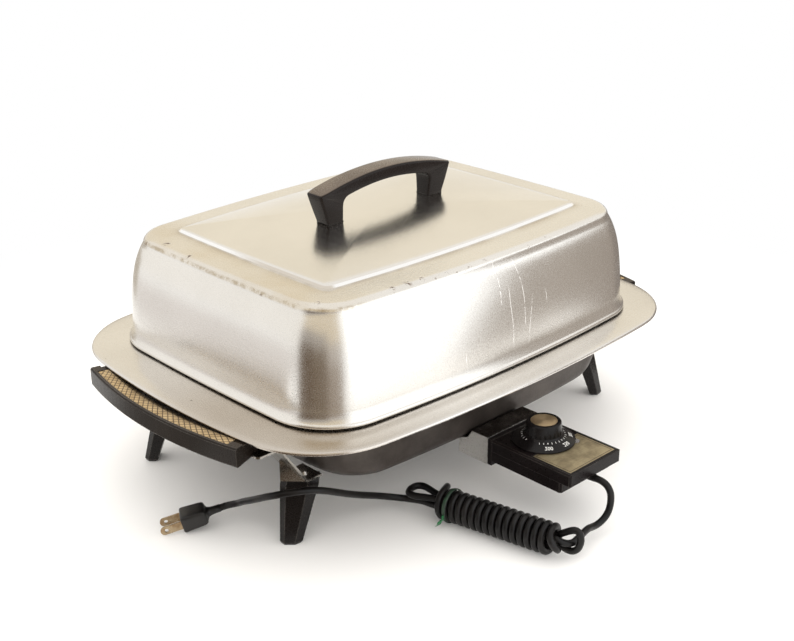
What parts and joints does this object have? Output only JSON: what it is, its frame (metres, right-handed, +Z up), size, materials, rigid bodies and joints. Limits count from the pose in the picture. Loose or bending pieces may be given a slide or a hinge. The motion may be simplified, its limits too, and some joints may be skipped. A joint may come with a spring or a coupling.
{
  "type": "electric skillet",
  "caption": "Rectangular electric skillet with a high-domed lift-off lid, side handles, splayed legs and a plug-in heat control with its cord wound in a hank.",
  "frame": {"origin": "centre of the pan and of its four feet, on the table", "axes": "+X along the pan's long side, -Y is the side that the heat control plugs into, +Z is up"},
  "size_m": [0.4802, 0.4335, 0.234],
  "materials": {
    "pan_metal": "satin, warm grey",
    "lid_metal": "satin polished, with fine scratches",
    "shroud_metal": "satin",
    "sheath": "dull oxidised sheath",
    "steel": "plated sheet and screws",
    "phenolic": "dark phenolic, semi-gloss",
    "handle_phenolic": "brown-black phenolic, semi-gloss",
    "gold": "gold-toned foil, satin",
    "label": "aged gold-grey plate, plain",
    "lens": "clear orange-red",
    "lamp": "clear lamp",
    "brass": "dull brass",
    "ceramic": "off-white insulator",
    "cord_rubber": "matt black",
    "tie_green": "plastic-coated tie"
  },
  "bodies": {
    "base": {"pan": "pan_metal", "heating_element": "sheath", "terminal_pins": "steel", "probe_socket": "pan_metal", "shroud": "shroud_metal", "shroud_rivets": "steel", "handle_bosses": "pan_metal", "handle_left": "phenolic", "handle_right": "phenolic", "handle_insert_left": "gold", "handle_insert_right": "gold", "bracket_front_left": "steel", "bracket_front_right": "steel", "bracket_back_left": "steel", "bracket_back_right": "steel", "foot_front_left": "phenolic", "foot_front_right": "phenolic", "foot_back_left": "phenolic", "foot_back_right": "phenolic", "handle_screws": "steel", "foot_screws": "steel"},
    "lid": {"lid_shell": "lid_metal", "lid_handle": "handle_phenolic", "lid_handle_screws": "steel"},
    "control": {"control_base": "phenolic", "control_cover": "phenolic", "label_plate": "label", "pilot_lens": "lens", "pilot_lamp": "lamp", "sensor_probe": "steel", "contact_sleeves": "brass", "thermostat_frame": "ceramic", "thermostat_blade": "steel", "control_screws": "steel", "strain_relief": "cord_rubber", "cord_to_hank": "cord_rubber", "cord_hank": "cord_rubber", "twist_tie": "tie_green", "cord_to_plug": "cord_rubber", "plug_body": "cord_rubber", "plug_blades": "brass"},
    "dial": {"dial_knob": "phenolic", "dial_cap": "gold", "dial_shaft": "steel"}
  },
  "joints": [
    {"name": "lid_lift", "type": "slide", "parent": "base", "child": "lid", "axis": [0, 0, 1], "range_m": [0, 0.2]},
    {"name": "control_unplug", "type": "slide", "parent": "base", "child": "control", "axis": [0, -1, 0], "range_m": [0, 0.12]},
    {"name": "dial_turn", "type": "hinge", "parent": "control", "child": "dial", "pos_m": [0, -0.178, 0.058], "axis": [0, 0, -1], "range_deg": [0, 280]}
  ]
}
